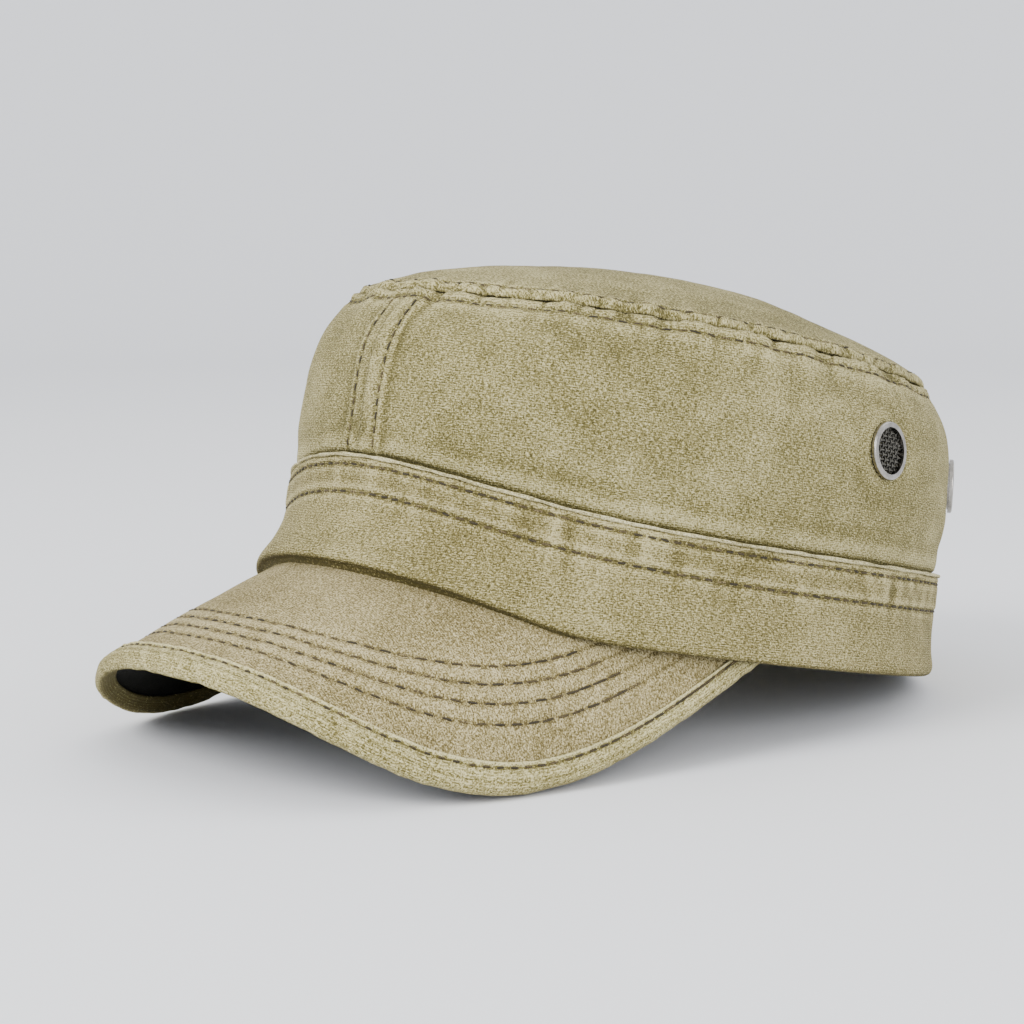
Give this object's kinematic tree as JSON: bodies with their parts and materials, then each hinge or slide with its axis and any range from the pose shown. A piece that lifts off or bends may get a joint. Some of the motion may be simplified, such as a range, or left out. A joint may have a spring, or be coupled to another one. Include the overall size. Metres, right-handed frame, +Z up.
{
  "type": "flat top field cap",
  "caption": "Flat-topped cloth field cap with a curved stitched brim, wide band, mesh vent eyelets, sweatband and a back strap with a cam buckle.",
  "frame": {"origin": "centre of the bounding box at the level of the table the cap rests on", "axes": "+Z up, -Y to the front of the cap where the brim is, +X to the wearer's left; the cap is tipped back 10.8 degrees as it rests on its brim sides and the back of its band"},
  "size_m": [0.171, 0.2636, 0.1225],
  "materials": {
    "canvas": "washed cotton canvas",
    "binding_cloth": "washed cotton bias strip",
    "seam_tape": "cotton tape",
    "sweat_cloth": "dark cotton twill",
    "under_cloth": "washed cotton canvas",
    "board": "moulded sheet",
    "label": "woven, blank",
    "strap_cloth": "washed cotton canvas",
    "wire_mesh": "blackened wire",
    "eyelet_metal": "satin",
    "buckle_metal": "satin"
  },
  "bodies": {
    "cap": {"back_seam_tape": "seam_tape", "band_interlining": "seam_tape", "band_piping": "binding_cloth", "blank_label": "label", "brim_binding": "binding_cloth", "brim_board": "board", "brim_under_cloth": "under_cloth", "brim_upper_cloth": "canvas", "buckle_frame": "buckle_metal", "buckle_pin": "buckle_metal", "crown_side_left": "canvas", "crown_side_right": "canvas", "crown_top": "canvas", "eyelet_mesh_front_left": "wire_mesh", "eyelet_mesh_front_right": "wire_mesh", "eyelet_mesh_rear_left": "wire_mesh", "eyelet_mesh_rear_right": "wire_mesh", "eyelet_ring_front_left": "eyelet_metal", "eyelet_ring_front_right": "eyelet_metal", "eyelet_ring_rear_left": "eyelet_metal", "eyelet_ring_rear_right": "eyelet_metal", "eyelet_washer_front_left": "eyelet_metal", "eyelet_washer_front_right": "eyelet_metal", "eyelet_washer_rear_left": "eyelet_metal", "eyelet_washer_rear_right": "eyelet_metal", "front_seam_tape": "seam_tape", "opening_binding": "binding_cloth", "outer_band": "canvas", "strap_tab": "strap_cloth", "sweatband": "sweat_cloth", "top_seam_tape": "seam_tape"},
    "strap": {"closure_strap": "strap_cloth"},
    "lever": {"buckle_lever": "buckle_metal"}
  },
  "joints": [
    {"name": "strap_slide_round", "type": "hinge", "parent": "cap", "child": "strap", "pos_m": [0, 0.05391, 0.02393], "axis": [0, 0.1879, 0.9822], "range_deg": [-6, 6]},
    {"name": "lever_hinge", "type": "hinge", "parent": "cap", "child": "lever", "pos_m": [0.00768, 0.12116, 0.01106], "axis": [0, -0.1879, -0.9822], "range_deg": [0, 100]}
  ]
}
